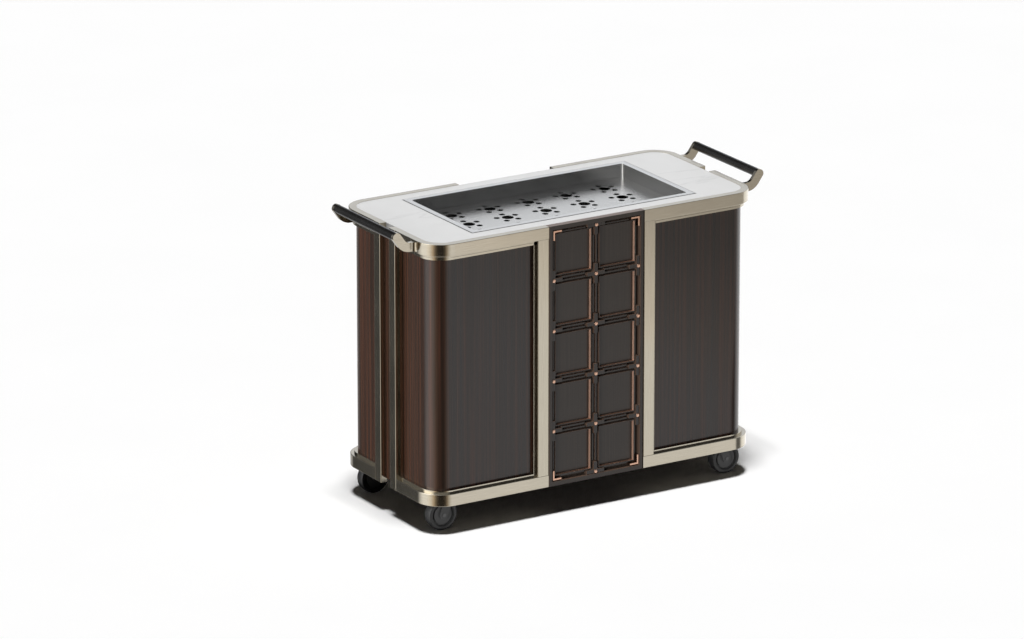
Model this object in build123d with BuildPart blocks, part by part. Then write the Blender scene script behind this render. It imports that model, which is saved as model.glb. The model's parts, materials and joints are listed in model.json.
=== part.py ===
from build123d import *

import os

# Meal collection cart: a wheeled cabinet with a stone top, a drained well and lattice panels.
# Millimetres. +Z is up, -Y is the front, and the floor under the middle of the cart is the origin.

# Cabinet outline
cart_length = 1200.0
cart_depth = 562.0
corner_radius = 86.0
cabinet_height = 848.0

# Metal rails, posts and bead frames
rail_height = 39.0
rail_depth = 24.0
rail_edge_radius = 1.5
side_post_width = 39.5
end_post_width = 36.0
post_edge_radius = 2.0
slot_width = 55.0
slot_depth = 16.5
slot_wall_rise = 14.0
bead_width = 8.0
bead_setback = 12.5

# Boards and stone
panel_thickness = 10.0
panel_rise = 5.0
base_board_thickness = 18.0
top_frame_thickness = 18.0
stone_thickness = 20.0
stone_drop = 1.0

# Well and its drain
well_length = 779.0
well_width = 380.0
well_corner_radius = 8.0
flange_width = 18.5
flange_seat = 0.5
pan_wall = 1.5
cutout_clearance = 0.5
drain_plate_depth = 43.5
drain_plate_thickness = 2.0
drain_plate_clearance = 0.4
ledge_width = 10.0
ledge_thickness = 3.0
sump_depth = 45.0
drain_hole_radius = 22.0
drain_bore_radius = 18.0
drain_flange_radius = 34.0
drain_flange_thickness = 4.0
drain_pipe_length = 265.0

# Flower pattern of the drain plate
flower_columns = 5
flower_rows = 3
flower_pitch_x = 141.0
flower_pitch_y = 107.0
flower_shift = 11.5
flower_centre_radius = 19.0
petal_count = 5
petal_radius = 9.75
petal_circle_radius = 35.5

# Waste bin under the drain
bin_height = 380.0
bin_base_length = 250.0
bin_base_width = 190.0
bin_flare = 25.0
bin_wall = 2.5
bin_corner_radius = 16.0
bin_rim_width = 8.0
bin_rim_height = 6.0

# Lattice panels: one fixed in the front, one hinged in the rear as a service door
lattice_width = 350.0
lattice_thickness = 22.5
lattice_bevel = 4.0
border_width = 13.5
door_gap = 1.5
cell_columns = 2
cell_rows = 5
grid_inset = 15.0
board_thickness = 3.5
tray_depth = 8.0
tray_inset = 16.6
tray_wall = 1.2
tray_lip = 0.8
liner_thickness = 1.2
rod_width = 6.5
rod_depth = 12.0
rod_edge_radius = 1.5
rod_pair_gap = 5.0
rod_end_gap = 1.5
rod_tray_gap = 0.2
sleeve_width = 12.0
sleeve_depth = 4.0
sleeve_arm = 32.0
sleeve_gap = 0.3
stud_radius = 6.3
stud_height = 3.5
stud_edge_radius = 3.0
bracket_arm = 28.0
bracket_width = 5.0
bracket_depth = 2.0

# Butt hinges of the service door
hinge_count = 3
hinge_height = 60.0
hinge_inset = 120.0
hinge_leaf_thickness = 1.5
hinge_leaf_width = 18.0
knuckle_radius = 4.0
knuckle_clearance = 0.3
hinge_pin_radius = 2.0
hinge_cap_radius = 3.2
hinge_cap_height = 1.5

# Push handles
handle_span = 374.0
handle_reach = 64.0
handle_bar_radius = 14.0
arm_thickness = 12.0
arm_width = 29.0
arm_root_drop = 19.0
arm_rise = 37.5
arm_knee = 37.0
arm_bend_radius = 38.0
arm_foot_flare = 13.0

# Casters
wheel_diameter = 100.0
wheel_width = 32.0
caster_inset_x = 100.0
caster_inset_y = 73.0
caster_trail = 24.0
caster_plate_length = 84.0
caster_plate_width = 64.0
caster_plate_corner = 8.0
caster_plate_thickness = 4.0
race_radius = 23.0
race_thickness = 5.0
swivel_gap = 0.3
crown_radius = 26.0
crown_thickness = 16.7
crown_to_wheel = 8.0
kingpin_radius = 6.0
kingpin_head_radius = 10.0
kingpin_head_thickness = 3.0
leg_thickness = 4.0
leg_to_wheel = 1.5
leg_top_half_width = 15.0
leg_end_radius = 14.0
leg_overlap = 6.0
axle_radius = 4.0
axle_head_radius = 6.0
axle_head_thickness = 1.2
running_clearance = 0.05
hub_radius = 31.0
hub_width = 28.0
web_thickness = 14.0
rim_thickness = 1.5
rim_width = 24.0
tyre_thickness = 11.5
tyre_edge_radius = 2.5
tread_crown = 1.5

# Levels above the floor
crown_bottom = wheel_diameter + crown_to_wheel
crown_top = crown_bottom + crown_thickness
race_bottom = crown_top + swivel_gap
caster_plate_bottom = race_bottom + race_thickness
base_board_bottom = caster_plate_bottom + caster_plate_thickness
base_board_top = base_board_bottom + base_board_thickness
cabinet_bottom = base_board_bottom - rail_height
cabinet_top = cabinet_bottom + cabinet_height
top_rail_bottom = cabinet_top - rail_height
stone_top_level = cabinet_top - stone_drop
stone_bottom = stone_top_level - stone_thickness
flange_bottom = stone_top_level - flange_seat
top_frame_bottom = stone_bottom - top_frame_thickness
ledge_level = stone_top_level - drain_plate_depth - drain_plate_thickness
sump_level = ledge_level - sump_depth
pan_bottom = sump_level - pan_wall
axle_level = wheel_diameter / 2

# Plan positions
half_length = cart_length / 2
half_depth = cart_depth / 2
lattice_edge = lattice_width / 2
end_rail_start = slot_width / 2 + end_post_width
board_inset = rail_depth + panel_thickness
hinge_axis_x = lattice_edge - door_gap / 2
hinge_axis_y = half_depth
hinge_pitch = (cabinet_height - 2 * hinge_inset) / (hinge_count - 1)
hinge_levels = [cabinet_bottom + hinge_inset + i * hinge_pitch for i in range(hinge_count)]
corners = [("front_left", -1, -1), ("front_right", 1, -1), ("rear_left", -1, 1), ("rear_right", 1, 1)]

os.makedirs("parts", exist_ok=True)


def save(piece, label):
    piece.label = label
    export_step(piece, f"parts/{label}.step")


def outline(inset):
    """Rounded plan of the cabinet, drawn in by an inset."""
    with BuildSketch() as plan:
        RectangleRounded(cart_length - 2 * inset, cart_depth - 2 * inset, corner_radius - inset)
    return plan.sketch


def corner_plan(outer_inset, inner_inset, side_start, end_start, x_sign, y_sign):
    """Plan of a strip round one corner, from side_start on the long side to end_start on the end."""
    align_x = Align.MIN if x_sign > 0 else Align.MAX
    align_y = Align.MIN if y_sign > 0 else Align.MAX
    with BuildSketch() as plan:
        add(outline(outer_inset))
        add(outline(inner_inset), mode=Mode.SUBTRACT)
        with Locations((x_sign * side_start, y_sign * end_start)):
            Rectangle(cart_length, cart_depth, align=(align_x, align_y), mode=Mode.INTERSECT)
    return plan.sketch


# Curved metal rails: a section with softened outer edges, swept round each corner

def corner_rail(rail_bottom, x_sign, y_sign):
    start = (x_sign * lattice_edge, y_sign * half_depth)
    corner = (x_sign * half_length, y_sign * half_depth)
    finish = (x_sign * half_length, y_sign * end_rail_start)
    inward = x_sign * y_sign
    with BuildPart() as rail:
        with BuildLine(Plane.XY.offset(rail_bottom)):
            FilletPolyline(start, corner, finish, radius=corner_radius)
        section_plane = Plane(origin=(*start, rail_bottom), x_dir=(0, 0, 1), z_dir=(x_sign, 0, 0))
        with BuildSketch(section_plane) as section:
            with Locations((rail_height / 2, inward * rail_depth / 2)):
                Rectangle(rail_height, rail_depth)
            outer_side = section.vertices().group_by(Axis.Y)[0 if inward > 0 else -1]
            fillet(outer_side, radius=rail_edge_radius)
        sweep()
    return rail.part


for corner_name, x_sign, y_sign in corners:
    save(corner_rail(cabinet_bottom, x_sign, y_sign), f"bottom_rail_{corner_name}")
    save(corner_rail(top_rail_bottom, x_sign, y_sign), f"top_rail_{corner_name}")

# Veneered panels bent round each corner behind the rails and posts
for corner_name, x_sign, y_sign in corners:
    with BuildPart() as panel:
        with BuildSketch(Plane.XY.offset(cabinet_bottom + panel_rise)):
            add(corner_plan(rail_depth, board_inset, lattice_edge, slot_width / 2, x_sign, y_sign))
        extrude(amount=stone_bottom - cabinet_bottom - panel_rise)
    save(panel.part, f"corner_panel_{corner_name}")

# Bead frames on the panels, inside the rails and posts
bead_side_start = lattice_edge + side_post_width
with BuildPart() as panel_beads:
    for corner_name, x_sign, y_sign in corners:
        with BuildSketch(Plane.XY.offset(base_board_bottom)):
            add(corner_plan(bead_setback, rail_depth, bead_side_start, end_rail_start, x_sign, y_sign))
        extrude(amount=top_rail_bottom - base_board_bottom)
        with BuildSketch(Plane.XY.offset(base_board_bottom + bead_width)):
            add(corner_plan(bead_setback, rail_depth, bead_side_start + bead_width,
                            end_rail_start + bead_width, x_sign, y_sign))
        extrude(amount=top_rail_bottom - base_board_bottom - 2 * bead_width, mode=Mode.SUBTRACT)
save(panel_beads.part, "panel_beads")

# Posts beside the lattice panels, with the service door's hinge seats in the rear right one
hinge_recess_height = hinge_height + 2 * (hinge_cap_height + knuckle_clearance)
frame_leaf_x = lattice_edge + hinge_leaf_thickness / 2
door_leaf_x = lattice_edge - door_gap - hinge_leaf_thickness / 2
leaf_y = half_depth - hinge_leaf_width / 2
with BuildPart() as side_posts:
    with BuildSketch(Plane.XY.offset(base_board_bottom)):
        with GridLocations(lattice_width + side_post_width, cart_depth - rail_depth, 2, 2):
            RectangleRounded(side_post_width, rail_depth, post_edge_radius)
    extrude(amount=top_rail_bottom - base_board_bottom)
    for hinge_level in hinge_levels:
        with Locations((frame_leaf_x, leaf_y, hinge_level)):
            Box(hinge_leaf_thickness, hinge_leaf_width, hinge_height, mode=Mode.SUBTRACT)
        with Locations((hinge_axis_x, hinge_axis_y, hinge_level)):
            Cylinder(knuckle_radius + knuckle_clearance, hinge_recess_height, mode=Mode.SUBTRACT)
save(side_posts.part, "side_posts")

# Full-height posts beside the end slots
with BuildPart() as end_posts:
    with BuildSketch(Plane.XY.offset(cabinet_bottom)):
        with GridLocations(cart_length - rail_depth, slot_width + end_post_width, 2, 2):
            RectangleRounded(rail_depth, end_post_width, post_edge_radius)
    extrude(amount=cabinet_height)
save(end_posts.part, "end_posts")

# Back walls of the end slots
slot_wall_thickness = board_inset - slot_depth
with BuildPart() as slot_walls:
    with BuildSketch(Plane.XY.offset(cabinet_bottom + slot_wall_rise)):
        with GridLocations(cart_length - slot_depth - board_inset, slot_width, 2, 1):
            Rectangle(slot_wall_thickness, slot_width)
    extrude(amount=stone_bottom - cabinet_bottom - slot_wall_rise)
save(slot_walls.part, "slot_walls")


def board_plan():
    """Plan of an inner board: inside the panels, with tongues that reach the lattice panels."""
    with BuildSketch() as plan:
        add(outline(board_inset))
        with Locations((0, -door_gap / 2)):
            Rectangle(lattice_width, cart_depth - 2 * lattice_thickness - door_gap)
    return plan.sketch


with BuildPart() as base_board:
    with BuildSketch(Plane.XY.offset(base_board_bottom)):
        add(board_plan())
    extrude(amount=base_board_thickness)
save(base_board.part, "base_board")

# Top frame and stone, both cut out for the well
cutout_length = well_length + 2 * (pan_wall + cutout_clearance)
cutout_width = well_width + 2 * (pan_wall + cutout_clearance)
cutout_radius = well_corner_radius + pan_wall + cutout_clearance
flange_length = well_length + 2 * flange_width
flange_breadth = well_width + 2 * flange_width

with BuildPart() as top_frame:
    with BuildSketch(Plane.XY.offset(top_frame_bottom)):
        add(board_plan())
        RectangleRounded(cutout_length, cutout_width, cutout_radius, mode=Mode.SUBTRACT)
    extrude(amount=top_frame_thickness)
save(top_frame.part, "top_frame")

with BuildPart() as stone_top:
    with BuildSketch(Plane.XY.offset(stone_bottom)):
        add(outline(rail_depth))
        RectangleRounded(cutout_length, cutout_width, cutout_radius, mode=Mode.SUBTRACT)
    extrude(amount=stone_thickness)
    with BuildSketch(Plane.XY.offset(flange_bottom)):
        Rectangle(flange_length + 2 * cutout_clearance, flange_breadth + 2 * cutout_clearance)
    extrude(amount=flange_seat, mode=Mode.SUBTRACT)
save(stone_top.part, "stone_top")

# Well pan: flange in a shallow seat in the stone, straight walls, floor with a drain hole
with BuildPart() as well_pan:
    with BuildSketch(Plane.XY.offset(flange_bottom)):
        Rectangle(flange_length, flange_breadth)
    extrude(amount=pan_wall)
    with BuildSketch(Plane.XY.offset(pan_bottom)):
        RectangleRounded(well_length + 2 * pan_wall, well_width + 2 * pan_wall, well_corner_radius + pan_wall)
    extrude(amount=flange_bottom - pan_bottom)
    with BuildSketch(Plane.XY.offset(sump_level)):
        RectangleRounded(well_length, well_width, well_corner_radius)
    extrude(amount=flange_bottom + pan_wall - sump_level, mode=Mode.SUBTRACT)
    with BuildSketch(Plane.XY.offset(pan_bottom)):
        Circle(drain_hole_radius)
    extrude(amount=pan_wall, mode=Mode.SUBTRACT)
save(well_pan.part, "well_pan")

# Strips welded to the pan's walls, which carry the drain plate
long_ledge = well_length - 2 * well_corner_radius
short_ledge = well_width - 2 * (ledge_width + well_corner_radius)
with BuildPart() as plate_ledges:
    with BuildSketch(Plane.XY.offset(ledge_level)):
        with GridLocations(0, well_width - ledge_width, 1, 2):
            Rectangle(long_ledge, ledge_width)
        with GridLocations(well_length - ledge_width, 0, 2, 1):
            Rectangle(ledge_width, short_ledge)
    extrude(amount=-ledge_thickness)
save(plate_ledges.part, "plate_ledges")

# Lift-out drain plate, pierced with flowers of holes
with BuildPart() as drain_plate:
    with BuildSketch(Plane.XY.offset(ledge_level)):
        RectangleRounded(well_length - 2 * drain_plate_clearance, well_width - 2 * drain_plate_clearance,
                         well_corner_radius - drain_plate_clearance)
        with Locations((-flower_shift, 0)):
            with GridLocations(flower_pitch_x, flower_pitch_y, flower_columns, flower_rows):
                Circle(flower_centre_radius, mode=Mode.SUBTRACT)
                with PolarLocations(petal_circle_radius, petal_count, start_angle=90):
                    Circle(petal_radius, mode=Mode.SUBTRACT)
    extrude(amount=drain_plate_thickness)
save(drain_plate.part, "drain_plate")

# Drain outlet: a spigot in the pan's hole, a clamping flange under it and a straight tail pipe
with BuildPart() as drain_outlet:
    with BuildSketch(Plane.XY.offset(pan_bottom)):
        Circle(drain_hole_radius)
    extrude(amount=pan_wall)
    with BuildSketch(Plane.XY.offset(pan_bottom)):
        Circle(drain_flange_radius)
    extrude(amount=-drain_flange_thickness)
    with BuildSketch(Plane.XY.offset(pan_bottom)):
        Circle(drain_hole_radius)
    extrude(amount=-drain_pipe_length)
    with BuildSketch(Plane.XY.offset(sump_level)):
        Circle(drain_bore_radius)
    extrude(amount=-(pan_wall + drain_pipe_length), mode=Mode.SUBTRACT)
save(drain_outlet.part, "drain_outlet")


def bin_plan(margin):
    """Plan of the bin's base, let out by a margin."""
    length = bin_base_length + 2 * margin
    width = bin_base_width + 2 * margin
    with BuildSketch() as plan:
        RectangleRounded(length, width, bin_corner_radius + margin)
    return plan.sketch


# Waste bin: tapered tub with a turned-out rim
bin_top = base_board_top + bin_height
with BuildPart() as waste_bin:
    with BuildSketch(Plane.XY.offset(base_board_top)):
        add(bin_plan(0))
    with BuildSketch(Plane.XY.offset(bin_top)):
        add(bin_plan(bin_flare))
    loft()
    with BuildSketch(Plane.XY.offset(bin_top - bin_rim_height)):
        add(bin_plan(bin_flare + bin_rim_width))
    extrude(amount=bin_rim_height)
    with BuildSketch(Plane.XY.offset(base_board_top + bin_wall)):
        add(bin_plan(-bin_wall))
    with BuildSketch(Plane.XY.offset(bin_top)):
        add(bin_plan(bin_flare - bin_wall))
    loft(mode=Mode.SUBTRACT)
save(waste_bin.part, "waste_bin")


# Lattice panels: a border round a thin board, on which stand trays lined with copper, pairs of rods along
# the grid lines between the trays, cross and tee sleeves where the lines meet, and copper fittings.
# Local x and y lie in the panel's face, from its middle, and z points out of it.
window_width = lattice_width - 2 * border_width
column_pitch = (lattice_width - 2 * grid_inset) / cell_columns
tile_depth = lattice_thickness - board_thickness
crossing_inset = border_width + sleeve_gap + max(sleeve_width / 2, stud_radius)
tray_outside = tray_inset - liner_thickness - tray_wall


def face_plane(y_sign, height, depth):
    """Plane behind the face of the front or rear panel by a depth."""
    middle = (0, y_sign * (half_depth - depth), cabinet_bottom + height / 2)
    return Plane(origin=middle, x_dir=(-y_sign, 0, 0), z_dir=(0, y_sign, 0))


def row_pitch(height):
    return (height - 2 * grid_inset) / cell_rows


def grid_line(index, count, pitch):
    return (index - count / 2) * pitch


def crossing(index, count, pitch, size):
    """Place of a crossing along one axis: on its grid line, or just inside the border."""
    limit = size / 2 - crossing_inset
    return max(-limit, min(limit, grid_line(index, count, pitch)))


def crossing_x(column):
    return crossing(column, cell_columns, column_pitch, lattice_width)


def crossing_y(row, height):
    return crossing(row, cell_rows, row_pitch(height), height)


def is_corner(column, row):
    return column in (0, cell_columns) and row in (0, cell_rows)


def crossing_arm(column, row):
    return bracket_arm if is_corner(column, row) else sleeve_arm


def crossings():
    return [(column, row) for column in range(cell_columns + 1) for row in range(cell_rows + 1)]


def rod_lines(index, count, pitch):
    """Middles of the rods along a grid line: a pair inside the grid, one beside the trays on its outline."""
    line = grid_line(index, count, pitch)
    if 0 < index < count:
        spread = (rod_pair_gap + rod_width) / 2
        return [line - spread, line + spread]
    inward = 1 if index == 0 else -1
    return [line + inward * (tray_outside - rod_tray_gap - rod_width / 2)]


def cell_rings(height, inset, thickness):
    """Rings round the cells, drawn in from the grid lines by an inset."""
    pitch = row_pitch(height)
    with BuildSketch() as rings:
        with GridLocations(column_pitch, pitch, cell_columns, cell_rows):
            Rectangle(column_pitch - 2 * inset, pitch - 2 * inset)
        with GridLocations(column_pitch, pitch, cell_columns, cell_rows):
            inner_inset = inset + thickness
            Rectangle(column_pitch - 2 * inner_inset, pitch - 2 * inner_inset, mode=Mode.SUBTRACT)
    return rings.sketch


def lattice_border(y_sign, height, width, hinged):
    with BuildPart() as border:
        with BuildSketch(Plane.XY.offset(cabinet_bottom)) as plan:
            with Locations((0, y_sign * (half_depth - lattice_thickness / 2))):
                Rectangle(width, lattice_thickness)
            chamfer(plan.vertices().group_by(Axis.Y)[0 if y_sign < 0 else -1], length=lattice_bevel)
        extrude(amount=height)
        with BuildSketch(face_plane(y_sign, height, 0)):
            Rectangle(window_width, height - 2 * border_width)
        extrude(amount=-lattice_thickness, mode=Mode.SUBTRACT)
        if hinged:
            for hinge_level in hinge_levels:
                with Locations((door_leaf_x, leaf_y, hinge_level)):
                    Box(hinge_leaf_thickness, hinge_leaf_width, hinge_height, mode=Mode.SUBTRACT)
                with Locations((hinge_axis_x, hinge_axis_y, hinge_level)):
                    Cylinder(knuckle_radius + knuckle_clearance, hinge_recess_height, mode=Mode.SUBTRACT)
    return border.part


def lattice_board(y_sign, height):
    """Thin board with the trays' outer walls standing on it, whose lips cover the liners' edges."""
    with BuildPart() as board:
        with BuildSketch(face_plane(y_sign, height, tile_depth)):
            Rectangle(window_width, height - 2 * border_width)
        extrude(amount=-board_thickness)
        with BuildSketch(face_plane(y_sign, height, tile_depth)):
            add(cell_rings(height, tray_outside, tray_wall))
        extrude(amount=tile_depth - tray_depth)
        with BuildSketch(face_plane(y_sign, height, tray_depth)):
            add(cell_rings(height, tray_outside, tray_wall + liner_thickness))
        extrude(amount=-tray_lip)
    return board.part


def lattice_liners(y_sign, height):
    """Copper sheets inside the trays' walls, under the lips."""
    with BuildPart() as liners:
        with BuildSketch(face_plane(y_sign, height, tile_depth)):
            add(cell_rings(height, tray_inset - liner_thickness, liner_thickness))
        extrude(amount=tile_depth - tray_depth - tray_lip)
    return liners.part


def lattice_rods(y_sign, height):
    """Rods with softened front edges, from sleeve to sleeve."""
    with BuildPart() as rods:
        with BuildSketch(face_plane(y_sign, height, tile_depth)):
            for column, row in crossings():
                if row < cell_rows:
                    low = crossing_y(row, height) + crossing_arm(column, row) + rod_end_gap
                    high = crossing_y(row + 1, height) - crossing_arm(column, row + 1) - rod_end_gap
                    for x in rod_lines(column, cell_columns, column_pitch):
                        with Locations((x, (low + high) / 2)):
                            Rectangle(rod_width, high - low)
                if column < cell_columns:
                    left = crossing_x(column) + crossing_arm(column, row) + rod_end_gap
                    right = crossing_x(column + 1) - crossing_arm(column + 1, row) - rod_end_gap
                    for y in rod_lines(row, cell_rows, row_pitch(height)):
                        with Locations(((left + right) / 2, y)):
                            Rectangle(right - left, rod_width)
        extrude(amount=tile_depth - rod_depth)
        fillet(rods.edges().group_by(Axis.Y)[-1 if y_sign > 0 else 0], radius=rod_edge_radius)
    return rods.part


def lattice_sleeves(y_sign, height):
    """Cross and tee sleeves that close the ends of the rods where the lines meet."""
    with BuildPart() as sleeves:
        with BuildSketch(face_plane(y_sign, height, sleeve_depth)):
            for column, row in crossings():
                if is_corner(column, row):
                    continue
                x, y = crossing_x(column), crossing_y(row, height)
                left = sleeve_arm if column > 0 else 0
                right = sleeve_arm if column < cell_columns else 0
                down = sleeve_arm if row > 0 else 0
                up = sleeve_arm if row < cell_rows else 0
                with Locations((x + (right - left) / 2, y)):
                    Rectangle(left + right, sleeve_width)
                with Locations((x, y + (up - down) / 2)):
                    Rectangle(sleeve_width, down + up)
        extrude(amount=sleeve_depth - tile_depth)
    return sleeves.part


def lattice_fittings(y_sign, height):
    """Domed studs on the sleeves and angle brackets round the four corners."""
    stud_places = [spot for spot in crossings() if not is_corner(*spot)]
    bracket_places = [spot for spot in crossings() if is_corner(*spot)]
    with BuildPart() as fittings:
        with BuildSketch(face_plane(y_sign, height, sleeve_depth)):
            with Locations(*[(crossing_x(column), crossing_y(row, height)) for column, row in stud_places]):
                Circle(stud_radius)
        extrude(amount=stud_height)
        crowns = fittings.edges().filter_by(GeomType.CIRCLE).group_by(Axis.Y)[-1 if y_sign > 0 else 0]
        fillet(crowns, radius=stud_edge_radius)
        with BuildSketch(face_plane(y_sign, height, bracket_depth)):
            for column, row in bracket_places:
                x, y = crossing_x(column), crossing_y(row, height)
                reach = bracket_arm + bracket_width / 2
                inward_x = bracket_arm / 2 - bracket_width / 4
                inward_y = inward_x if row == 0 else -inward_x
                with Locations((x + (inward_x if column == 0 else -inward_x), y)):
                    Rectangle(reach, bracket_width)
                with Locations((x, y + inward_y)):
                    Rectangle(bracket_width, reach)
        extrude(amount=bracket_depth - tile_depth)
    return fittings.part


# The door ends below the stone, which leaves the gap in the rear rim open
front, rear = -1, 1
door_height = stone_bottom - cabinet_bottom
for prefix, y_sign, height, width, hinged in (("front_lattice", front, cabinet_height, lattice_width, False),
                                              ("door", rear, door_height, lattice_width - 2 * door_gap, True)):
    save(lattice_border(y_sign, height, width, hinged), f"{prefix}_border")
    save(lattice_board(y_sign, height), f"{prefix}_board")
    save(lattice_liners(y_sign, height), f"{prefix}_liners")
    save(lattice_rods(y_sign, height), f"{prefix}_rods")
    save(lattice_sleeves(y_sign, height), f"{prefix}_sleeves")
    save(lattice_fittings(y_sign, height), f"{prefix}_fittings")

# Butt hinges: frame leaves with the two outer knuckles, door leaves with the middle one, and pins
middle_knuckle = hinge_height / 3
middle_gap = middle_knuckle + 2 * knuckle_clearance

with BuildPart() as hinge_frame_leaves:
    for hinge_level in hinge_levels:
        with Locations((hinge_axis_x, hinge_axis_y, hinge_level)):
            Cylinder(knuckle_radius, hinge_height)
        with Locations((frame_leaf_x, leaf_y, hinge_level)):
            Box(hinge_leaf_thickness, hinge_leaf_width, hinge_height)
        with Locations((hinge_axis_x, hinge_axis_y, hinge_level)):
            Cylinder(knuckle_radius + knuckle_clearance, middle_gap, mode=Mode.SUBTRACT)
            Cylinder(hinge_pin_radius, hinge_height, mode=Mode.SUBTRACT)
save(hinge_frame_leaves.part, "hinge_frame_leaves")

with BuildPart() as hinge_door_leaves:
    for hinge_level in hinge_levels:
        with Locations((door_leaf_x, leaf_y, hinge_level)):
            Box(hinge_leaf_thickness, hinge_leaf_width, hinge_height)
        with Locations((hinge_axis_x, hinge_axis_y, hinge_level)):
            Cylinder(knuckle_radius + knuckle_clearance, hinge_height, mode=Mode.SUBTRACT)
            Cylinder(knuckle_radius, middle_knuckle)
        with Locations((door_leaf_x, leaf_y, hinge_level)):
            Box(hinge_leaf_thickness, hinge_leaf_width, middle_knuckle)
        with Locations((hinge_axis_x, hinge_axis_y, hinge_level)):
            Cylinder(hinge_pin_radius + running_clearance, hinge_height, mode=Mode.SUBTRACT)
save(hinge_door_leaves.part, "hinge_door_leaves")

with BuildPart() as hinge_pins:
    for hinge_level in hinge_levels:
        with Locations((hinge_axis_x, hinge_axis_y, hinge_level)):
            Cylinder(hinge_pin_radius, hinge_height)
        for cap_sign in (-1, 1):
            cap_level = hinge_level + cap_sign * (hinge_height + hinge_cap_height) / 2
            with Locations((hinge_axis_x, hinge_axis_y, cap_level)):
                Cylinder(hinge_cap_radius, hinge_cap_height)
save(hinge_pins.part, "hinge_pins")

# Push handles: a round bar between two arms that curve up from a flared foot on the end of the rail
arm_root_level = cabinet_top - arm_root_drop
bar_level = arm_root_level + arm_rise
arm_middle = handle_span / 2 - arm_thickness / 2


def handle_arms(x_sign):
    root = (x_sign * half_length, arm_root_level)
    knee = (x_sign * (half_length + arm_knee), arm_root_level)
    bar = (x_sign * (half_length + handle_reach), bar_level)
    foot_width = arm_thickness + 2 * arm_foot_flare
    with BuildPart() as arms:
        for y_sign in (-1, 1):
            with BuildSketch(Plane.XZ.offset(-y_sign * arm_middle)):
                with BuildLine():
                    FilletPolyline(root, knee, bar, radius=arm_bend_radius)
                trace(line_width=arm_width)
                with Locations(bar):
                    Circle(arm_width / 2)
            extrude(amount=arm_thickness / 2, both=True)
            with BuildSketch(Plane.XY.offset(arm_root_level - arm_width / 2)):
                with Locations((x_sign * (half_length + arm_foot_flare / 2), y_sign * arm_middle)):
                    Rectangle(arm_foot_flare, foot_width)
                with Locations((x_sign * (half_length + arm_foot_flare), y_sign * arm_middle)):
                    with GridLocations(0, foot_width, 1, 2):
                        Circle(arm_foot_flare, mode=Mode.SUBTRACT)
            extrude(amount=arm_width)
    return arms.part


for side_name, x_sign in (("left", -1), ("right", 1)):
    save(handle_arms(x_sign), f"{side_name}_handle_arms")
    with BuildPart() as handle_bar:
        with BuildSketch(Plane.XZ):
            with Locations((x_sign * (half_length + handle_reach), bar_level)):
                Circle(handle_bar_radius)
        extrude(amount=handle_span / 2 - arm_thickness, both=True)
    save(handle_bar.part, f"{side_name}_handle_bar")

# Casters
swivel_x = half_length - caster_inset_x
swivel_y = half_depth - caster_inset_y
wheel_radius = wheel_diameter / 2
rim_radius = wheel_radius - tyre_thickness
leg_middle = wheel_width / 2 + leg_to_wheel + leg_thickness / 2
leg_outer = leg_middle + leg_thickness / 2

# Caster plates, each with its bearing race and the kingpin riveted under the crown
with BuildPart() as caster_plates:
    with BuildSketch(Plane.XY.offset(caster_plate_bottom)):
        with GridLocations(2 * swivel_x, 2 * swivel_y, 2, 2):
            RectangleRounded(caster_plate_length, caster_plate_width, caster_plate_corner)
    extrude(amount=caster_plate_thickness)
    kingpin_bottom = crown_bottom - swivel_gap - kingpin_head_thickness
    for radius, bottom, top in ((race_radius, race_bottom, caster_plate_bottom),
                                (kingpin_radius, kingpin_bottom, race_bottom),
                                (kingpin_head_radius, kingpin_bottom, crown_bottom - swivel_gap)):
        with BuildSketch(Plane.XY.offset(bottom)):
            with GridLocations(2 * swivel_x, 2 * swivel_y, 2, 2):
                Circle(radius)
        extrude(amount=top - bottom)
save(caster_plates.part, "caster_plates")


def caster_fork(axis_x, axis_y, wheel_x):
    with BuildPart() as fork:
        with BuildSketch(Plane.XY.offset(crown_bottom)):
            with Locations((axis_x, axis_y)):
                Circle(crown_radius)
        extrude(amount=crown_thickness)
        for leg_sign in (-1, 1):
            with BuildSketch(Plane.XZ.offset(-(axis_y + leg_sign * leg_middle))):
                with BuildLine():
                    Line((axis_x - leg_top_half_width, crown_bottom + leg_overlap),
                         (axis_x + leg_top_half_width, crown_bottom + leg_overlap))
                    CenterArc((wheel_x, axle_level), leg_end_radius, 0, 360)
                make_hull()
            extrude(amount=leg_thickness / 2, both=True)
        with BuildSketch(Plane.XZ.offset(-axis_y)):
            with Locations((wheel_x, axle_level)):
                Circle(axle_radius)
        extrude(amount=leg_outer, both=True, mode=Mode.SUBTRACT)
        with BuildSketch(Plane.XY.offset(crown_bottom)):
            with Locations((axis_x, axis_y)):
                Circle(kingpin_radius + running_clearance)
        extrude(amount=crown_thickness, mode=Mode.SUBTRACT)
    return fork.part


def caster_axle(axis_y, wheel_x):
    with BuildPart() as axle:
        with BuildSketch(Plane.XZ.offset(-axis_y)):
            with Locations((wheel_x, axle_level)):
                Circle(axle_radius)
        extrude(amount=leg_outer, both=True)
        for head_sign in (-1, 1):
            with BuildSketch(Plane.XZ.offset(-(axis_y + head_sign * (leg_outer + axle_head_thickness / 2)))):
                with Locations((wheel_x, axle_level)):
                    Circle(axle_head_radius)
            extrude(amount=axle_head_thickness / 2, both=True)
    return axle.part


def wheel_plane(wheel_x, wheel_y):
    """Plane through the wheel's axis: local x along the axle, local y outwards from it."""
    return Plane(origin=(wheel_x, wheel_y, axle_level), x_dir=(0, 1, 0), z_dir=(1, 0, 0))


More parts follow.
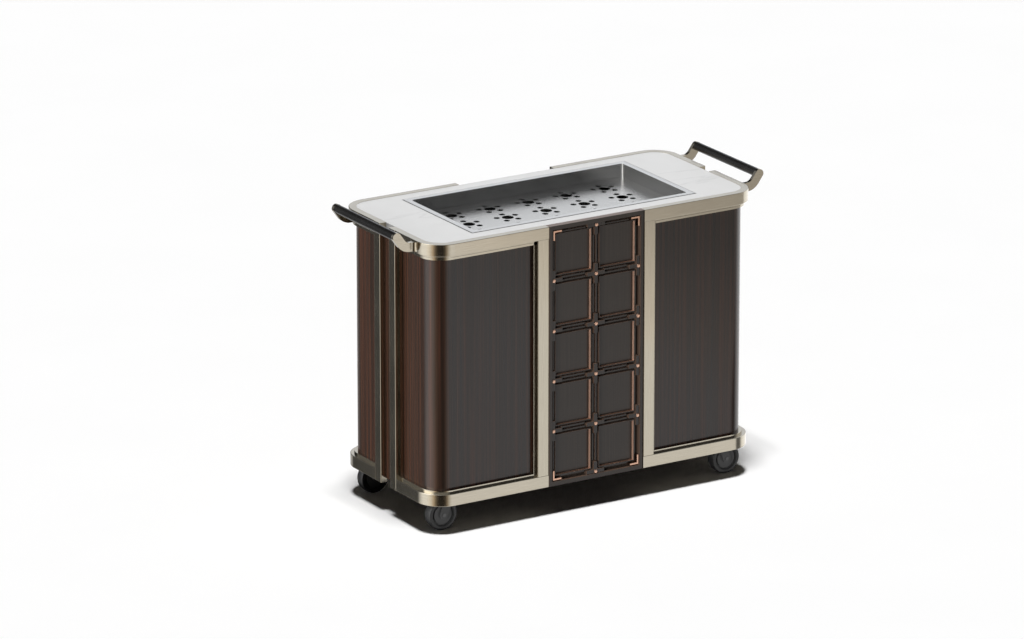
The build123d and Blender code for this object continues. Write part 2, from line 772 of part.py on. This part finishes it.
def caster_wheel(wheel_x, wheel_y):
    bore = axle_radius + running_clearance
    with BuildPart() as wheel:
        with BuildSketch(wheel_plane(wheel_x, wheel_y)):
            for width, low, high in ((hub_width, bore, hub_radius),
                                     (web_thickness, hub_radius, rim_radius - rim_thickness),
                                     (rim_width, rim_radius - rim_thickness, rim_radius)):
                with Locations((0, (low + high) / 2)):
                    Rectangle(width, high - low)
        revolve(axis=Axis((wheel_x, wheel_y, axle_level), (0, 1, 0)))
    return wheel.part


def caster_tyre(wheel_x, wheel_y):
    """Tyre with flat sides and a crowned tread."""
    side = wheel_width / 2
    side_radius = wheel_radius - tread_crown
    with BuildPart() as tyre:
        with BuildSketch(wheel_plane(wheel_x, wheel_y)) as section:
            with BuildLine():
                Polyline((-side, side_radius), (-side, rim_radius), (side, rim_radius), (side, side_radius))
                ThreePointArc((side, side_radius), (0, wheel_radius), (-side, side_radius))
            make_face()
            fillet(section.vertices().group_by(Axis.Y)[-1], radius=tyre_edge_radius)
        revolve(axis=Axis((wheel_x, wheel_y, axle_level), (0, 1, 0)))
    return tyre.part


for corner_name, x_sign, y_sign in corners:
    axis_x = x_sign * swivel_x
    axis_y = y_sign * swivel_y
    wheel_x = axis_x + x_sign * caster_trail
    save(caster_fork(axis_x, axis_y, wheel_x), f"caster_fork_{corner_name}")
    save(caster_axle(axis_y, wheel_x), f"caster_axle_{corner_name}")
    save(caster_wheel(wheel_x, axis_y), f"caster_wheel_{corner_name}")
    save(caster_tyre(wheel_x, axis_y), f"caster_tyre_{corner_name}")
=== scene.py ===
import json
import math

import bmesh
import bpy
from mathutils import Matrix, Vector


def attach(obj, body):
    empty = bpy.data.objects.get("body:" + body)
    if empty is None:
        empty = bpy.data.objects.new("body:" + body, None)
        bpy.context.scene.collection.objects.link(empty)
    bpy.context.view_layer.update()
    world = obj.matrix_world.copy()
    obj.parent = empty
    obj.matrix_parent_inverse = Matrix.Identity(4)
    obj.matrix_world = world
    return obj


# Meal collection cart: finishes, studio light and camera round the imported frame. Metres.
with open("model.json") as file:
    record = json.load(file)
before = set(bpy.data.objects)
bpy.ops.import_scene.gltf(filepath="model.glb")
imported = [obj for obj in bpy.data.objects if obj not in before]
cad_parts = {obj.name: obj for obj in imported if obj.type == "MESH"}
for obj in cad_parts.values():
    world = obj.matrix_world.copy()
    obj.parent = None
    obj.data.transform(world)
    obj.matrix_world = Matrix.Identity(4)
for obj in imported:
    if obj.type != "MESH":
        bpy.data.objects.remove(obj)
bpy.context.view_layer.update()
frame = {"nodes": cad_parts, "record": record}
nodes = frame["nodes"]
slot_of = {part["node"]: part["material_slot"] for part in frame["record"]["subparts"]}

# Camera, in degrees, metres and millimetres of film
camera_azimuth = -31.48
camera_elevation = 17.64
camera_target = Vector((-0.0328, 0.1702, 0.4978))
camera_distance = 22.667
camera_reach = 200.0
camera_lens = 251.8
film_width = 36.0

# Lamps: azimuth and elevation of where the light comes from, level, angle of the source
key_lamp = (-40, 83, 0.78, 9)
left_lamp = (-105, 12, 1.0, 50)
back_lamp = (140, 8, 0.60, 50)
fill_lamp = (-56, 8, 0.80, 30)
floor_lamp = (-40, 83, 0.225, 12)
ambient_level = 0.005

# Floor: its size, and the greys that it bounces to the cart and shows to the camera
floor_size = 90.0
floor_bounce = (0.245, 0.25)
floor_white = (0.98, 0.99)

# Floor as reflections see it: darker to the front right, from and to along X, and black under the cart
dim_from = 1.05
dim_to = 2.05
dim_level = 0.54
dim_tint = (1.0, 0.955, 0.90, 1.0)
dim_box = (1.05, 6.0, -8.0, -0.9)
shade_box = (-0.60, 0.60, -0.24, 0.30)

# What glossy surfaces reflect: level and tint by plan angle from +X, below and above the horizon
neutral = (1.0, 1.0, 1.0)
cool = (0.97, 1.0, 1.05)
soft = (1.05, 1.0, 0.92)
warm = (1.25, 1.0, 0.72)
studio_low = [
    (0, 1.3, neutral), (58, 1.3, neutral), (70, 0.5, neutral), (102, 0.5, neutral), (112, 0.07, neutral),
    (126, 0.07, neutral), (132, 0.42, neutral), (146, 0.95, neutral), (157, 1.22, neutral),
    (177, 1.20, neutral), (187, 1.12, soft), (196, 0.90, soft), (206, 0.58, warm), (215, 0.20, warm),
    (223, 0.06, warm), (231, 0.02, warm), (248, 0.02, warm), (257, 0.06, warm), (265, 0.26, warm),
    (273, 0.66, soft), (283, 1.0, neutral), (312, 0.97, neutral), (320, 0.16, neutral),
    (338, 0.16, neutral), (350, 1.1, neutral), (360, 1.3, neutral),
]
studio_high = [
    (0, 0.82, cool), (61, 0.82, cool), (68, 0.02, cool), (108, 0.02, cool), (118, 0.25, cool),
    (140, 0.25, cool), (154, 3.2, neutral), (186, 3.2, neutral), (208, 0.35, cool), (270, 0.35, cool),
    (286, 0.06, cool), (318, 0.06, cool), (332, 0.35, cool), (345, 0.82, cool), (360, 0.82, cool),
]

# Degrees of elevation over which the low studio gives way to the high one, and degrees below the level
# over which the low studio gives way to white floor
horizon = (-13.0, -4.0)
floor_fall = (30, 39)

# Width of the beads round the panels, and how far their lower step hangs
bead_width = 0.008
bead_step = 0.007

# Line of sealant round the well
seal_width = 0.003
seal_height = 0.0003

# Depths below the plate's underside and below the rim over which the painted shade on the well's steel
# fades out: dark under the plate, lighter on the walls
sump_fade = 0.004
flange_fade = (0.002, 0.0005)

# Brushing along X on the steel of the well, per metre, and the depth of any brushing on steel
well_brush = (10.0, 700.0, 700.0)
brush_depth = 0.000004

# Sockets of a colour mix node
mix_first = 6
mix_second = 7
mix_result = 2

black = (0.0, 0.0, 0.0, 1.0)
white = (1.0, 1.0, 1.0, 1.0)


def box_of(name):
    """Lowest and highest x, y and z of a node."""
    node = nodes[name]
    corners = [node.matrix_world @ Vector(corner) for corner in node.bound_box]
    return [[end(corner[axis] for corner in corners) for axis in range(3)] for end in (min, max)]


def added(name, data):
    """A new object in the scene."""
    made = bpy.data.objects.new(name, data)
    bpy.context.scene.collection.objects.link(made)
    return made


class Nodes:
    """Short calls that add nodes to a tree."""

    def __init__(self, tree):
        self.tree = tree

    def node(self, kind, **settings):
        made = self.tree.nodes.new(kind)
        for key, value in settings.items():
            setattr(made, key, value)
        return made

    def link(self, source, target):
        self.tree.links.new(source, target)

    def math(self, operation, *sources):
        node = self.node("ShaderNodeMath", operation=operation)
        for socket, source in zip(node.inputs, sources):
            self.link(source, socket)
        return node.outputs[0]

    def split(self, source):
        """The x, y and z of a vector."""
        node = self.node("ShaderNodeSeparateXYZ")
        self.link(source, node.inputs[0])
        return node.outputs

    def ramp(self, source, stops):
        """Colours along a value from 0 to 1, as (position, colour) pairs."""
        ramp = self.node("ShaderNodeValToRGB")
        elements = ramp.color_ramp.elements
        while len(elements) < len(stops):
            elements.new(0.5)
        for element, (position, colour) in zip(elements, stops):
            element.position = position
            element.color = (*colour, 1.0)
        self.link(source, ramp.inputs["Fac"])
        return ramp.outputs["Color"]

    def tones(self, source, low, high):
        """From one colour to another over the middle of a noise."""
        return self.ramp(source, [(0.3, low), (0.7, high)])

    def span(self, source, low, high, from_low=0.3, from_high=0.7, kind="LINEAR"):
        """A value spread over a new range."""
        node = self.node("ShaderNodeMapRange", interpolation_type=kind)
        ends = {"From Min": from_low, "From Max": from_high, "To Min": low, "To Max": high}
        for key, value in ends.items():
            node.inputs[key].default_value = value
        self.link(source, node.inputs["Value"])
        return node.outputs["Result"]

    def mix(self, factor, first, second, blend="MIX"):
        """One colour over another. Each of the three is a socket or a plain value."""
        node = self.node("ShaderNodeMix", data_type="RGBA", blend_type=blend)
        for key, source in (("Factor", factor), (mix_first, first), (mix_second, second)):
            if isinstance(source, bpy.types.NodeSocket):
                self.link(source, node.inputs[key])
            else:
                node.inputs[key].default_value = source
        return node.outputs[mix_result]


class Finish(Nodes):
    """A material with one Principled shader."""

    def __init__(self, name, **settings):
        self.material = bpy.data.materials.new(name)
        self.material.use_nodes = True
        super().__init__(self.material.node_tree)
        self.shader = self.tree.nodes["Principled BSDF"]
        for key, value in settings.items():
            self.socket(key).default_value = value

    def socket(self, key):
        return self.shader.inputs[key.replace("_", " ").title().replace("Ior", "IOR")]

    def coordinates(self, kind):
        """The x, y and z of the frame's own coordinates or normals."""
        return self.split(self.node("ShaderNodeTexCoord").outputs[kind])

    def noise(self, scale, detail=3.0, distortion=0.0, offset=(0, 0, 0)):
        """Noise in the frame's own coordinates, with a scale per metre for each axis."""
        place = self.node("ShaderNodeTexCoord")
        mapping = self.node("ShaderNodeMapping")
        mapping.inputs["Location"].default_value = offset
        mapping.inputs["Scale"].default_value = scale
        texture = self.node("ShaderNodeTexNoise")
        texture.inputs["Scale"].default_value = 1.0
        texture.inputs["Detail"].default_value = detail
        texture.inputs["Distortion"].default_value = distortion
        self.link(place.outputs["Object"], mapping.inputs["Vector"])
        self.link(mapping.outputs["Vector"], texture.inputs["Vector"])
        return texture.outputs["Fac"]

    def bump(self, source, depth):
        node = self.node("ShaderNodeBump")
        node.inputs["Distance"].default_value = depth
        self.link(source, node.inputs["Height"])
        self.link(node.outputs["Normal"], self.shader.inputs["Normal"])

    def set(self, **sockets):
        for key, source in sockets.items():
            self.link(source, self.socket(key))
        return self.material


def bronze(name, along):
    """Pale bronze anodised metal under clear lacquer, brushed along the level or along Z."""
    finish = Finish(name, metallic=1.0, coat_weight=0.6, coat_roughness=0.12)
    across, lengthwise = 900.0, 14.0
    scale = (lengthwise, lengthwise, across) if along == "level" else (across, across, lengthwise)
    brush = finish.noise(scale, detail=4.0)
    cloud = finish.noise((7.0, 7.0, 7.0))
    colour = finish.ramp(brush, [(0.25, (0.475, 0.425, 0.335)), (0.75, (0.575, 0.525, 0.425))])
    finish.bump(brush, 0.000002)
    return finish.set(base_color=colour, roughness=finish.span(cloud, 0.13, 0.18))


def veneer():
    """Dark straight-grained wood with fine pores and reddish streaks, under satin lacquer."""
    finish = Finish("veneer", ior=1.57)
    band = finish.noise((24.0, 24.0, 0.5), detail=3.0, distortion=0.2, offset=(0.0, 1.6, 0.0))
    streak = finish.noise((95.0, 95.0, 0.9), detail=5.0, distortion=0.1, offset=(3.1, 1.7, 0.4))
    line = finish.noise((420.0, 420.0, 4.0), detail=3.0)
    ground = finish.ramp(band, [(0.32, (0.026, 0.0160, 0.0115)), (0.68, (0.055, 0.0290, 0.0190))])
    red = finish.ramp(band, [(0.32, (0.080, 0.034, 0.020)), (0.68, (0.150, 0.057, 0.031))])
    colour = finish.mix(finish.span(streak, 0.0, 0.9, 0.42, 0.72), ground, red)
    pores = finish.ramp(line, [(0.30, (0.62, 0.60, 0.60)), (0.60, (1.0, 1.0, 1.0))])
    colour = finish.mix(0.8, colour, pores, "MULTIPLY")
    finish.bump(line, 0.000006)
    return finish.set(base_color=colour, roughness=finish.span(band, 0.20, 0.26))


def stone():
    """White polished stone with a faint cloud and a few thin grey veins."""
    finish = Finish("stone", ior=1.5)
    cloud = finish.noise((9.0, 9.0, 9.0), detail=6.0, distortion=0.6)
    vein = finish.noise((0.9, 2.6, 2.6), detail=5.0, distortion=0.9, offset=(0.7, 2.3, 0.0))
    where = finish.noise((3.0, 3.0, 3.0), detail=1.0, offset=(5.2, 0.6, 0.0))
    base = finish.ramp(cloud, [(0.25, (0.625, 0.620, 0.610)), (0.75, (0.645, 0.640, 0.632))])
    beside, on_vein = (1.0, 1.0, 1.0), (0.90, 0.90, 0.905)
    line = finish.ramp(vein, [(0.491, beside), (0.5, on_vein), (0.509, beside)])
    veined = finish.mix(1.0, base, line, "MULTIPLY")
    colour = finish.mix(finish.span(where, 0.0, 0.9, 0.48, 0.62), base, veined)
    return finish.set(base_color=colour, roughness=finish.span(cloud, 0.16, 0.22))


def steel(name, brush_scale, tone, rough):
    """Brushed steel of one tone."""
    finish = Finish(name, metallic=1.0)
    brush = finish.noise(brush_scale, detail=4.0)
    cloud = finish.noise((6.0, 6.0, 6.0))
    low = [0.97 * part for part in tone]
    high = [1.03 * part for part in tone]
    finish.bump(brush, brush_depth)
    return finish.set(base_color=finish.tones(brush, low, high),
                      roughness=finish.span(cloud, rough, rough + 0.03))


def pan_steel(rim_level, plate_level):
    """Brushed steel of the well: the flange in the steel's own tone, the walls darkened by painted shade,
    and the floor under the plate darkest with painted shade.
    """
    finish = Finish("pan_steel", metallic=1.0)
    brush = finish.noise(well_brush, detail=4.0)
    cloud = finish.noise((6.0, 6.0, 6.0))
    height = finish.coordinates("Object")[2]
    flange = finish.tones(brush, (0.745, 0.735, 0.715), (0.79, 0.78, 0.76))
    # Painted shade: the walls and the floor under the plate are darker tones of the same steel
    wall = finish.tones(brush, (0.555, 0.550, 0.540), (0.59, 0.585, 0.575))
    sump_shade = finish.tones(brush, (0.26, 0.26, 0.255), (0.29, 0.29, 0.285))
    over_plate = finish.span(height, 0.0, 1.0, plate_level - sump_fade, plate_level)
    on_flange = finish.span(height, 0.0, 1.0, *[rim_level - depth for depth in flange_fade])
    colour = finish.mix(on_flange, finish.mix(over_plate, sump_shade, wall), flange)
    finish.bump(brush, brush_depth)
    return finish.set(base_color=colour, roughness=finish.span(cloud, 0.20, 0.23))


def lacquer(name, low, high, rough):
    """Dark lacquer with a hint of vertical grain on the faces; lighter brown on their sides, partly the
    raw edge and partly painted light that lifts the shaded gaps between trays and rods.
    """
    finish = Finish(name, ior=1.52)
    grain = finish.noise((260.0, 260.0, 3.0), detail=3.0)
    face = finish.tones(grain, low, high)
    # Sides: partly the raw brown edge, partly painted light that lifts the shaded gaps
    side = finish.tones(grain, (0.095, 0.062, 0.046), (0.120, 0.078, 0.058))
    normal_y = finish.coordinates("Normal")[1]
    facing = finish.span(finish.math("ABSOLUTE", normal_y), 0.0, 1.0, 0.5, 0.9)
    finish.bump(grain, 0.00001)
    return finish.set(base_color=finish.mix(facing, side, face),
                      roughness=finish.span(grain, rough, rough + 0.06))


def copper(name, metallic, rough):
    """Copper tone with a soft tarnish."""
    finish = Finish(name, metallic=metallic)
    cloud = finish.noise((60.0, 60.0, 60.0), detail=4.0)
    colour = finish.tones(cloud, (0.66, 0.40, 0.285), (0.78, 0.49, 0.36))
    return finish.set(base_color=colour, roughness=finish.span(cloud, rough, rough + 0.08))


def painted(name, low, high, rough, ior=1.45):
    """Painted, moulded or rubber surface with a fine grain."""
    finish = Finish(name, ior=ior)
    grain = finish.noise((300.0, 300.0, 300.0), detail=2.0)
    cloud = finish.noise((11.0, 11.0, 11.0))
    finish.bump(grain, 0.00003)
    return finish.set(base_color=finish.tones(cloud, low, high),
                      roughness=finish.span(cloud, rough, rough + 0.06))


def plywood(name, low, high):
    """Board with its grain along X."""
    finish = Finish(name, ior=1.4)
    grain = finish.noise((4.0, 120.0, 120.0), detail=4.0, distortion=0.4)
    finish.bump(grain, 0.0001)
    return finish.set(base_color=finish.tones(grain, low, high), roughness=finish.span(grain, 0.5, 0.62))


# One finish for each material slot of the record
finishes = {
    "bronze_metal": bronze("bronze_level", "level"),
    "veneer": veneer(),
    "plywood": plywood("plywood", (0.30, 0.20, 0.11), (0.42, 0.29, 0.17)),
    "stone": stone(),
    "stainless": steel("stainless", well_brush, (0.70, 0.69, 0.665), 0.22),
    "drain_plastic": painted("drain_plastic", (0.48, 0.48, 0.46), (0.55, 0.55, 0.53), 0.45),
    "bin_plastic": painted("bin_plastic", (0.045, 0.048, 0.050), (0.056, 0.060, 0.063), 0.42),
    "lattice_lacquer": lacquer("lattice_lacquer", (0.026, 0.0195, 0.0155), (0.040, 0.030, 0.024), 0.28),
    "copper": copper("copper", 1.0, 0.20),
    "dark_metal": lacquer("dark_metal", (0.024, 0.0185, 0.016), (0.034, 0.0255, 0.022), 0.24),
    "hinge_steel": steel("hinge_steel", (300.0, 300.0, 12.0), (0.30, 0.30, 0.30), 0.30),
    "bar_black": painted("bar_black", (0.008, 0.0075, 0.007), (0.012, 0.0115, 0.011), 0.22),
    "caster_steel": steel("caster_steel", (200.0, 200.0, 200.0), (0.12, 0.12, 0.12), 0.34),
    "caster_plastic": painted("caster_plastic", (0.055, 0.055, 0.055), (0.068, 0.068, 0.068), 0.36),
    "tyre": painted("tyre", (0.012, 0.012, 0.012), (0.017, 0.017, 0.017), 0.36, ior=1.55),
}

# Nodes whose finish differs from that of their slot
pan_low, pan_high = box_of("well_pan")
plate_level = box_of("drain_plate")[0][2]
upright_bronze = bronze("bronze_upright", "upright")
liner_copper = copper("liner_copper", 0.45, 0.30)
own_finish = {
    "well_pan": pan_steel(pan_high[2], plate_level),
    "drain_plate": steel("plate_steel", well_brush, (0.76, 0.75, 0.725), 0.24),
    "side_posts": upright_bronze,
    "end_posts": upright_bronze,
    "panel_beads": upright_bronze,
    "front_lattice_liners": liner_copper,
    "door_liners": liner_copper,
    # Base board darkened to stand for the shade under the cart, so the floor beneath stays black
    "base_board": plywood("dark_plywood", (0.030, 0.024, 0.019), (0.045, 0.036, 0.028)),
}

for name, node in nodes.items():
    node.data.materials.clear()
    node.data.materials.append(own_finish.get(name, finishes[slot_of[name]]))

# Line of sealant round the flange of the well: a flat band, as four loops of four corners
stone_level = box_of("stone_top")[1][2]
seal_points = []
for spread, rise in ((0.0, seal_height), (seal_width, seal_height), (seal_width, 0.0), (0.0, 0.0)):
    x_low, y_low, x_high, y_high = (pan_low[0] - spread, pan_low[1] - spread,
                                    pan_high[0] + spread, pan_high[1] + spread)
    z = stone_level + rise
    seal_points += [(x_low, y_low, z), (x_high, y_low, z), (x_high, y_high, z), (x_low, y_high, z)]
seal_faces = []
for loop in range(4):
    for corner in range(4):
        next_loop = (loop + 1) % 4
        next_corner = (corner + 1) % 4
        seal_faces.append((4 * loop + corner, 4 * loop + next_corner,
                           4 * next_loop + next_corner, 4 * next_loop + corner))
seal_mesh = bpy.data.meshes.new("well_seal")
seal_mesh.from_pydata(seal_points, [], seal_faces)
seal_mesh.materials.append(painted("seal", (0.10, 0.10, 0.098), (0.13, 0.13, 0.127), 0.5))
seal = added("well_seal", seal_mesh)
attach(seal, "cabinet")

# Lower step of the beads under the top rails, cut from the beads' own top strips
beads = bmesh.new()
beads.from_mesh(nodes["panel_beads"].data)
cut_level = max(vertex.co.z for vertex in beads.verts) - bead_width
bmesh.ops.bisect_plane(beads, geom=beads.verts[:] + beads.edges[:] + beads.faces[:],
                       plane_co=(0.0, 0.0, cut_level), plane_no=(0.0, 0.0, 1.0), clear_inner=True)
bmesh.ops.translate(beads, verts=beads.verts[:], vec=(0.0, 0.0, -bead_step))
step_mesh = bpy.data.meshes.new("bead_step")
beads.to_mesh(step_mesh)
beads.free()
step_mesh.materials.append(finishes["bronze_metal"])
bead_steps = added("bead_steps", step_mesh)
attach(bead_steps, "cabinet")

# Floor: white to the camera, and a dimmer bounce to the cart
bpy.ops.mesh.primitive_plane_add(size=floor_size)
floor = bpy.context.object
floor.name = "floor"
floor_finish = Finish("floor", roughness=0.9, specular_ior_level=0.0)
floor_grain = floor_finish.noise((2.0, 2.0, 2.0))
bounced, seen_white = [floor_finish.tones(floor_grain, [low] * 3, [high] * 3)
                       for low, high in (floor_bounce, floor_white)]
is_camera = floor_finish.node("ShaderNodeLightPath").outputs["Is Camera Ray"]
floor_finish.set(base_color=floor_finish.mix(is_camera, bounced, seen_white))
floor.data.materials.append(floor_finish.material)
floor.visible_glossy = False


def reflected_floor(name, box, finish):
    """A patch of floor that shows in reflections alone."""
    x_low, x_high, y_low, y_high = box
    corners = [(x_low, y_low, 0.0), (x_high, y_low, 0.0), (x_high, y_high, 0.0), (x_low, y_high, 0.0)]
    mesh = bpy.data.meshes.new(name)
    mesh.from_pydata(corners, [], [(0, 1, 2, 3)])
    mesh.materials.append(finish.material)
    patch = added(name, mesh)
    for ray in ("camera", "diffuse", "shadow", "transmission", "volume_scatter"):
        setattr(patch, f"visible_{ray}", False)


dim_finish = Finish("dim_floor", base_color=black, specular_ior_level=0.0, emission_color=dim_tint)
dim_x = dim_finish.coordinates("Object")[0]
dim_finish.set(emission_strength=dim_finish.span(dim_x, 1.0, dim_level, dim_from, dim_to))
reflected_floor("dim_floor", dim_box, dim_finish)
reflected_floor("floor_shade", shade_box, Finish("floor_shade", base_color=black, specular_ior_level=0.0))

# World: white to the camera, the studio to glossy surfaces, an even soft light to the rest
world = bpy.data.worlds.new("studio")
bpy.context.scene.world = world
world.use_nodes = True
sky = Nodes(world.node_tree)
path = sky.node("ShaderNodeLightPath").outputs
plain = sky.tree.nodes["Background"]
plain.inputs["Color"].default_value = white
clear = sky.math("MAXIMUM", path["Is Camera Ray"], path["Is Transmission Ray"])
sky.link(sky.span(clear, ambient_level, 1.0, 0.0, 1.0), plain.inputs["Strength"])


def round_horizon(levels):
    """Stops of a ramp over a full turn."""
    return [(angle / 360, [level * part for part in tint]) for angle, level, tint in levels]


def flipped(source):
    """A value from -1 to 1, with its sign changed."""
    return sky.span(source, 1.0, -1.0, -1.0, 1.0)


x, y, z = sky.split(sky.node("ShaderNodeTexCoord").outputs["Generated"])
half_turn = sky.math("ARCTAN2", flipped(y), flipped(x))
turn = sky.span(half_turn, 0.0, 1.0, -math.pi, math.pi)
low = sky.ramp(turn, round_horizon(studio_low))
high = sky.ramp(turn, round_horizon(studio_high))
rise_from, rise_to = [math.sin(math.radians(angle)) for angle in horizon]
around = sky.mix(sky.span(z, 0.0, 1.0, rise_from, rise_to, "SMOOTHSTEP"), low, high)
fall_from, fall_to = [-math.sin(math.radians(angle)) for angle in floor_fall]
below = sky.span(z, 1.0, 0.0, fall_to, fall_from, "SMOOTHSTEP")
studio = sky.node("ShaderNodeBackground")
sky.link(sky.mix(below, around, white), studio.inputs["Color"])
either = sky.node("ShaderNodeMixShader")
for socket, source in zip(either.inputs, (path["Is Glossy Ray"], plain.outputs[0], studio.outputs[0])):
    sky.link(source, socket)
sky.link(either.outputs[0], sky.tree.nodes["World Output"].inputs["Surface"])


def from_angles(azimuth, elevation):
    """Direction from the cart to a place at an azimuth and elevation."""
    turn, rise = math.radians(azimuth), math.radians(elevation)
    return Vector((math.sin(turn) * math.cos(rise), -math.cos(turn) * math.cos(rise), math.sin(rise)))


def lamp(name, azimuth, elevation, level, spread, receivers):
    """A soft far lamp that lights the given objects; level 1 shows a colour that faces it as written."""
    light = bpy.data.lights.new(name, "SUN")
    light.energy = math.pi * level
    light.angle = math.radians(spread)
    piece = added(name, light)
    piece.rotation_euler = from_angles(azimuth, elevation).to_track_quat("Z", "Y").to_euler()
    piece.visible_glossy = False
    lit = bpy.data.collections.new(f"{name}_lit")
    for receiver in receivers:
        lit.objects.link(receiver)
    piece.light_linking.receiver_collection = lit


cart_pieces = list(nodes.values()) + [seal, bead_steps]
front_casters = [node for name, node in nodes.items() if name.startswith("caster") and "front" in name]
lattice = [node for name, node in nodes.items() if name.startswith("front_lattice")]
side_lit = front_casters + [node for name, node in nodes.items() if not name.startswith("caster")]
key_lit = [piece for piece in cart_pieces if piece != nodes["front_lattice_liners"]]
lamp("key_lamp", *key_lamp, key_lit + [floor])
lamp("left_lamp", *left_lamp, side_lit)
lamp("back_lamp", *back_lamp, cart_pieces)
lamp("fill_lamp", *fill_lamp, front_casters + lattice)
lamp("floor_lamp", *floor_lamp, [floor])

# Camera
camera_data = bpy.data.cameras.new("camera")
camera_data.lens = camera_lens
camera_data.sensor_width = film_width
camera_data.sensor_fit = "HORIZONTAL"
camera_data.clip_end = camera_reach
camera = added("camera", camera_data)
towards_camera = from_angles(camera_azimuth, camera_elevation)
camera.location = camera_target + camera_distance * towards_camera
camera.rotation_euler = towards_camera.to_track_quat("Z", "Y").to_euler()
bpy.context.scene.camera = camera
bpy.context.scene.view_settings.view_transform = "Standard"
